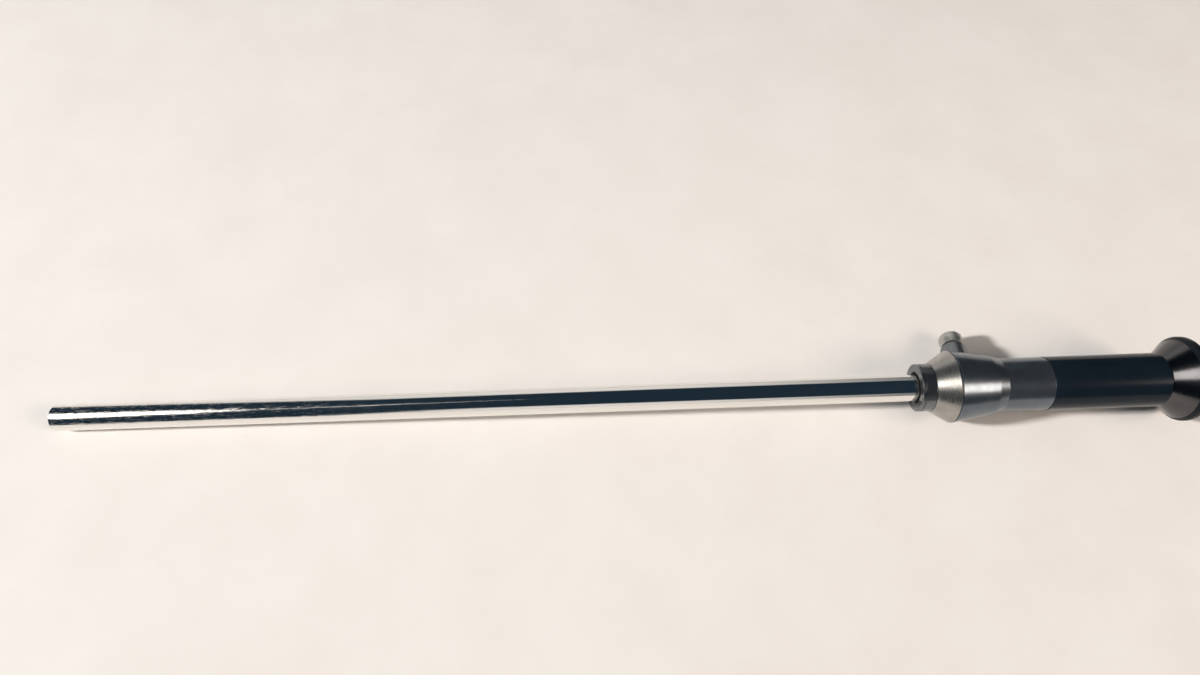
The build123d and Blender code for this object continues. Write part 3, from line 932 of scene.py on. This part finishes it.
# %% Eyecup
RIM_ROUND = 1.0
CUP_ROUND = 1.8
CUP_SPIGOT_R = 12.0
DISH_R = 12.0
DISH_DEPTH = 4.8
DISH_RIM_EDGE = 0.3
DISH_FLOOR_EDGE = 0.2
rim_corner = grip_end + (rim_r - FLARE_ROOT_R) / flare_slope
eyecup = turned_piece(
    "eyecup",
    [
        (cup_front, cup_bore),
        (cup_front, CUP_SPIGOT_R),
        (cup_joint, CUP_SPIGOT_R),
        (cup_joint, CUP_JOINT_R, CRISP),
        (rim_corner, rim_r, RIM_ROUND),
        (cup_end, rim_r, CUP_ROUND),
        (cup_end, DISH_R, DISH_RIM_EDGE),
        (cup_end - DISH_DEPTH, cup_bore, DISH_FLOOR_EDGE),
    ],
    eyecup_black,
    segments=WIDE_SEGMENTS,
)
stand_for(eyecup, "eyecup_ring")

# %% [markdown]
# ## Light post
# The plug of a light guide snaps on this post. A plain foot stands on the flat, a dark
# ring lies in the groove above it, and the end cap widens a little towards its rim, so
# that the plug holds behind it. Foot and cap are two adapters that are screwed together,
# so they are two outlines that share the floor of the groove.

# %% Post foot
FOOT_CHAMFER = 0.25
GROOVE_LIP = 0.45
GROOVE_FLOOR_R = 3.45
foot_top = post_joint - GROOVE_LIP
foot = turned_piece(
    "post_foot",
    [
        (post_start, post_bore),
        (post_start, foot_r, BROKEN),
        (foot_top - FOOT_CHAMFER, foot_r, BROKEN),
        (foot_top, foot_r - FOOT_CHAMFER, CRISP),
        (foot_top, GROOVE_FLOOR_R),
        (post_joint, GROOVE_FLOOR_R),
        (post_joint, post_bore),
    ],
    foot_steel,
    POST,
)
stand_for(foot, "inner_adapter")

# %% [markdown]
# ## Cap and ring of the post
# The cap has a seat for the window that lets the light in, and its outer edge is rounded
# for the plug. The rubber ring in the groove stands for the seal between both adapters.

# %% Post cap and ring
WAIST_R = 4.1
GROOVE_RING_R = 3.65
CAP_FLARE_LENGTH = 2.6
CAP_FLARE_ROUND = 0.5
CAP_ROUND = 0.4
cap_start, cap_end, cap_bore, cap_r = reach("outer_adapter", POST)
cap_foot = cap_start + GROOVE_LIP
window_bore = reach("post_window", POST)[3] + FIT
window_floor = reach("post_stub", POST)[1]
cap = turned_piece(
    "post_cap",
    [
        (cap_start, cap_bore),
        (cap_start, GROOVE_FLOOR_R),
        (cap_foot, GROOVE_FLOOR_R),
        (cap_foot, WAIST_R, WORN),
        (cap_end - CAP_FLARE_LENGTH, cap_r, CAP_FLARE_ROUND),
        (cap_end, cap_r, CAP_ROUND),
        (cap_end, window_bore, SOFT),
        (window_floor, window_bore),
        (window_floor, cap_bore),
    ],
    post_steel,
    POST,
)
stand_for(cap, "outer_adapter")
groove_ring = turned_piece(
    "post_groove_ring",
    [
        (foot_top, GROOVE_FLOOR_R + FIT),
        (foot_top, GROOVE_RING_R),
        (cap_foot, GROOVE_RING_R),
        (cap_foot, GROOVE_FLOOR_R + FIT),
    ],
    rubber,
    POST,
)
stand_for(groove_ring, "adapter_seal")

# %% [markdown]
# ## Fibre ends
# Light leaves the tip through a ring of glass fibres and enters at the post through a
# round bundle. Real fibres are 0.03 to 0.05 mm thick, too fine to show, so these discs
# are coarser. The tree sets them on a spiral that turns by the golden angle, which fills
# a disc evenly, and every disc is one flat face with eight sides.

# %% Fibre tree
GOLDEN_ANGLE = math.pi * (3 - math.sqrt(5))
FIBRE_SIDES = 8
FIBRE_SEED = 7
THINNEST = 0.8


def fibre_tree():
    """Fibre discs on a ring between two radii."""
    tree, given = group_tree(
        "fibre_field",
        [
            ("Count", "NodeSocketInt", 600),
            ("Inner Radius", "NodeSocketFloat", 0.0),
            ("Outer Radius", "NodeSocketFloat", 2.5 * MM),
            ("Fibre Radius", "NodeSocketFloat", 0.05 * MM),
            ("Seed", "NodeSocketInt", FIBRE_SEED),
            ("Material", "NodeSocketMaterial", None),
        ],
    )
    count = given.outputs["Count"]
    inner = given.outputs["Inner Radius"]
    outer = given.outputs["Outer Radius"]
    points = add(tree, "GeometryNodePoints", {"Count": count})
    index = add(tree, "GeometryNodeInputIndex")

    # Each fibre takes the same area, so the radius grows with the root of its share.
    middle = add(tree, "ShaderNodeMath", {0: index, 1: 0.5}, operation="ADD")
    share = add(tree, "ShaderNodeMath", {0: middle, 1: count}, operation="DIVIDE")
    inner_area = add(tree, "ShaderNodeMath", {0: inner, 1: 2}, operation="POWER")
    outer_area = add(tree, "ShaderNodeMath", {0: outer, 1: 2}, operation="POWER")
    ring = add(tree, "ShaderNodeMath", {0: outer_area, 1: inner_area}, operation="SUBTRACT")
    grown = add(tree, "ShaderNodeMath", {0: share, 1: ring}, operation="MULTIPLY")
    area = add(tree, "ShaderNodeMath", {0: inner_area, 1: grown}, operation="ADD")
    radius = add(tree, "ShaderNodeMath", {0: area}, operation="SQRT")
    angle = add(tree, "ShaderNodeMath", {0: index, 1: GOLDEN_ANGLE}, operation="MULTIPLY")
    cosine = add(tree, "ShaderNodeMath", {0: angle}, operation="COSINE")
    sine = add(tree, "ShaderNodeMath", {0: angle}, operation="SINE")
    y = add(tree, "ShaderNodeMath", {0: radius, 1: cosine}, operation="MULTIPLY")
    z = add(tree, "ShaderNodeMath", {0: radius, 1: sine}, operation="MULTIPLY")
    place = add(tree, "ShaderNodeCombineXYZ", {"Y": y, "Z": z})
    laid = add(tree, "GeometryNodeSetPosition", {"Geometry": points, "Position": place})

    # A disc is made flat on the ground and stood up, so that it faces along the axis.
    disc = add(
        tree,
        "GeometryNodeMeshCircle",
        {"Vertices": FIBRE_SIDES, "Radius": given.outputs["Fibre Radius"]},
        fill_type="NGON",
    )
    stood_up = {"Geometry": disc, "Rotation": (0, -math.pi / 2, 0)}
    upright = add(tree, "GeometryNodeTransform", stood_up)
    size = add(
        tree,
        "FunctionNodeRandomValue",
        {"Min": THINNEST, "Max": 1.0, "Seed": given.outputs["Seed"]},
        data_type="FLOAT",
    )
    copies = add(
        tree,
        "GeometryNodeInstanceOnPoints",
        {"Points": laid, "Instance": upright, "Scale": size},
    )
    return painted_end(tree, copies, given)


FIBRES = fibre_tree()
print("fibre tree with", len(FIBRES.nodes), "nodes")

# %% [markdown]
# ## Fibres at both ends
# The ring at the tip lies between the optical tube and the outer tube. The bundle at the
# post lies in its ferrule, behind the window. The discs stand a hair proud of the resin,
# because two faces in one plane would flicker through each other.

# %% Fibre fields
FIBRE_COUNT = 900
PROUD = 0.004
TIP_FIBRE_R = 0.055
TIP_MARGIN = 0.09
POST_FIBRE_R = 0.07
POST_MARGIN = 0.08


def fibre_field(name, inner, outer, fibre_r, matrix):
    """A field of fibre ends in the plane across a matrix's x axis, sizes in mm."""
    blank = bpy.data.objects.new(name + "_seed", bpy.data.meshes.new(name + "_seed"))
    scene.collection.objects.link(blank)
    modifier = blank.modifiers.new("fibres", "NODES")
    modifier.node_group = FIBRES
    values = {
        "Count": FIBRE_COUNT,
        "Inner Radius": inner * MM,
        "Outer Radius": outer * MM,
        "Fibre Radius": fibre_r * MM,
        "Seed": FIBRE_SEED,
        "Material": fibre_core,
    }
    set_inputs(modifier, values)
    piece = plain_mesh(blank, name, matrix)
    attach(piece, "root")
    print(name, len(piece.data.polygons), "fibre ends")


optical_r = reach("optical_tube")[3]
tip_face = SCOPE @ Matrix.Translation((-PROUD * MM, 0, 0))
fibre_field(
    "fibre_ends_tip", optical_r + TIP_MARGIN, tube_bore - TIP_MARGIN, TIP_FIBRE_R, tip_face
)
bundle_r = reach("fibre_ferrule", POST)[2]
window_start = reach("post_window", POST)[0]
post_face = POST @ Matrix.Translation(((window_start + PROUD) * MM, 0, 0))
post_face = post_face @ Matrix.Rotation(math.pi, 4, "Z")
fibre_field("fibre_ends_post", 0.0, bundle_r - POST_MARGIN, POST_FIBRE_R, post_face)

# %% [markdown]
# ## Finishes of the remaining nodes
# The inner pieces keep the shape of the model and get the finish of their slot, so that
# a cut model or an opened scope still looks right.

# %% Node finishes
finish = {
    "shaft_steel": shaft_steel,
    "polished_steel": housing_steel,
    "satin_steel": collar_steel,
    "inner_steel": inner_steel,
    "inner_black": inner_black,
    "black_sleeve": grip_black,
    "dark_anodised": funnel_steel,
    "eyecup_black": eyecup_black,
    "seal_rubber": rubber,
    "fibre_glass": fibre_bond,
    "optical_glass": glass,
}
for name, node in frame["nodes"].items():
    node.data.materials.clear()
    node.data.materials.append(finish[slots[name]])
print("finishes set on", len(frame["nodes"]), "nodes")

# %% [markdown]
# ## Sheet
# The scope lies on white paper. The sheet reaches far past the picture, so that the steel
# mirrors it up to the horizon. Paper is matt, and a very faint cloudiness keeps it from
# looking like a screen.

# %% Sheet
SHEET_HALF = 6.0
FLECK_MM = 40
PAPER_ROUGH = 0.85
sheet_mesh = bpy.data.meshes.new("sheet")
sheet_mesh.from_pydata(
    [(x * SHEET_HALF, y * SHEET_HALF, 0) for x, y in ((-1, -1), (1, -1), (1, 1), (-1, 1))],
    [],
    [(0, 1, 2, 3)],
)
sheet = bpy.data.objects.new("sheet", sheet_mesh)
scene.collection.objects.link(sheet)
# Uncoated paper: matt and equally pale from every side, so it shows every soft shadow.
paper, tree, point = new_material("white_paper")
fleck = add(
    tree,
    "ShaderNodeTexNoise",
    {"Vector": point, "Scale": 1 / (FLECK_MM * MM), "Detail": 4.0, "Roughness": 0.6},
)
patch = add(tree, "ShaderNodeMapRange", {"Value": fleck, **PATCHES})
whites = {"Factor": patch, "A": srgb("#F0EDE9"), "B": srgb("#ECE8E4")}
paper_colour = add(tree, "ShaderNodeMix", whites, data_type="RGBA")
paper_surface = add(
    tree, "ShaderNodeBsdfPrincipled", {"Base Color": paper_colour, "Roughness": PAPER_ROUGH}
)
add(tree, "ShaderNodeOutputMaterial", {"Surface": paper_surface})
sheet.data.materials.append(paper)
print("sheet of", 2 * SHEET_HALF, "m")

# %% [markdown]
# ## Room
# Polished steel shows little of itself: it shows the room. This room is pale in front and
# at the back, and dark over the table and at both sides, which puts the dark stripe along
# the top of the tube. A picture of a real room would do too, but here each side can be
# moved until the stripes lie right. Only rays that look at the room or mirror it see it
# so. For all other rays it is one plain grey, so it doesn't tint the paper.

# %% Room
world = bpy.data.worlds.new("room")
scene.world = world
world.use_nodes = True
tree = world.node_tree
tree.nodes.clear()
direction = add(tree, "ShaderNodeTexCoord").outputs["Generated"]


def dark_side(lean, start, full):
    """One dark side of the room: how far a direction leans that way, from 0 to 1."""
    leaning = add(tree, "ShaderNodeVectorMath", {0: direction, 1: lean}, operation="DOT_PRODUCT")
    return add(
        tree,
        "ShaderNodeMapRange",
        {"Value": leaning, "From Min": start, "From Max": full},
        interpolation_type="SMOOTHSTEP",
    )


over_table = dark_side(lean=(0.10, -0.17, 1.0), start=0.46, full=0.58)
on_left = dark_side(lean=(-2.5, -0.35, 1.0), start=1.10, full=1.32)
on_right = dark_side(lean=(1.0, 0.0, 0.0), start=0.05, full=0.50)
darkness = over_table
for one_side in (on_left, on_right):
    darkness = add(tree, "ShaderNodeMath", {0: darkness, 1: one_side}, operation="MAXIMUM")
walls = {"Factor": darkness, "A": srgb("#E4E0DC"), "B": srgb("#1D2C38")}
room = add(tree, "ShaderNodeMix", walls, data_type="RGBA")
path = add(tree, "ShaderNodeLightPath")
looked_at = path.outputs["Is Camera Ray"]
for ray in ("Is Glossy Ray", "Is Transmission Ray"):
    rays = {0: looked_at, 1: path.outputs[ray]}
    looked_at = add(tree, "ShaderNodeMath", rays, operation="MAXIMUM")
choice = {"Factor": looked_at, "A": srgb("#666A6E"), "B": room}
shown = add(tree, "ShaderNodeMix", choice, data_type="RGBA")
background = add(tree, "ShaderNodeBackground", {"Color": shown, "Strength": 1.0})
add(tree, "ShaderNodeOutputWorld", {"Surface": background})
print("room with", len(tree.nodes), "nodes")

# %% [markdown]
# ## Lamps
# On a mirror a lamp is also a shape. Two soft lamps, left and right, and a thin strip give
# the bright bands, and only surfaces that lean their way catch them. The key lamp stands
# far left and low, and its narrow beam casts the shadows. It is kept out of mirrors,
# where it would be a hard spot, and the left lamp is kept off the paper, where it would
# wash those shadows out.

# %% Lamps
def soft_lamp(
    name, place, width, depth, watts, colour,
    aim=(0.0, 0.0, 0.0), spread_deg=180, mirrored=True, lights=True,
):
    """A soft lamp. One that isn't mirrored only lights; one that doesn't light only mirrors."""
    lamp = bpy.data.lights.new(name, "AREA")
    lamp.shape = "ELLIPSE"
    lamp.size = width
    lamp.size_y = depth
    lamp.energy = watts
    lamp.color = srgb(colour)[:3]
    lamp.spread = math.radians(spread_deg)
    made = bpy.data.objects.new(name, lamp)
    facing = (Vector(aim) - Vector(place)).to_track_quat("-Z", "Y")
    made.matrix_world = Matrix.Translation(place) @ facing.to_matrix().to_4x4()
    made.visible_glossy = mirrored
    made.visible_diffuse = lights
    scene.collection.objects.link(made)
    print(name, watts, "W")


soft_lamp(
    "lamp_left", (-1.33, -0.20, 1.25),
    width=0.86, depth=0.76, watts=8.0, colour="#FFF9F2", lights=False,
)
soft_lamp(
    "lamp_strip", (-0.52, -0.21, 1.30),
    width=0.035, depth=0.62, watts=0.07, colour="#FFF9F2",
)
soft_lamp(
    "lamp_right", (1.10, -0.42, 0.74),
    width=0.64, depth=0.50, watts=7.2, colour="#FFEAD8", aim=(0.15, 0.0, 0.0),
)
soft_lamp(
    "key_left", (-2.65, -0.30, 1.35),
    width=0.28, depth=0.28, watts=18.6, colour="#FFFAF6", spread_deg=70, mirrored=False,
)

# %% [markdown]
# ## Camera
# A wide phone lens, held over the table in front of the scope and looking down at a
# little over 60 degrees. Its place is given from the tip of the scope, so it follows
# where the scope is laid. A solved camera gives its focal length in pixels, and the
# sensor's width turns that into the millimetres that Blender asks for.

# %% Camera
CAMERA_FROM_TIP = Vector((208.99, -115.87, 279.29)) * MM
PITCH_DEG = 62.54
ROLL_DEG = -0.71
YAW_DEG = 0.80
FOCAL_PX = 774.97
PHOTO_WIDTH_PX = 1200
SENSOR_MM = 36.0
NEAREST = 10 * MM
pitch = math.radians(PITCH_DEG)
yaw = math.radians(YAW_DEG)
roll = math.radians(ROLL_DEG)
forward = Vector(
    (math.sin(yaw) * math.cos(pitch), math.cos(yaw) * math.cos(pitch), -math.sin(pitch))
)
level = forward.cross(Vector((0, 0, 1))).normalized()
above = level.cross(forward)
right = level * math.cos(roll) + above * math.sin(roll)
upward = above * math.cos(roll) - level * math.sin(roll)
lens = bpy.data.cameras.new("photo_camera")
lens.sensor_width = SENSOR_MM
lens.lens = FOCAL_PX * SENSOR_MM / PHOTO_WIDTH_PX
lens.clip_start = NEAREST
camera = bpy.data.objects.new("photo_camera", lens)
turned = Matrix((right, upward, -forward)).transposed().to_4x4()
camera.matrix_world = Matrix.Translation(TIP + CAMERA_FROM_TIP) @ turned
scene.collection.objects.link(camera)
scene.camera = camera
scene.view_settings.view_transform = "Standard"
print("lens", round(lens.lens, 2), "mm")
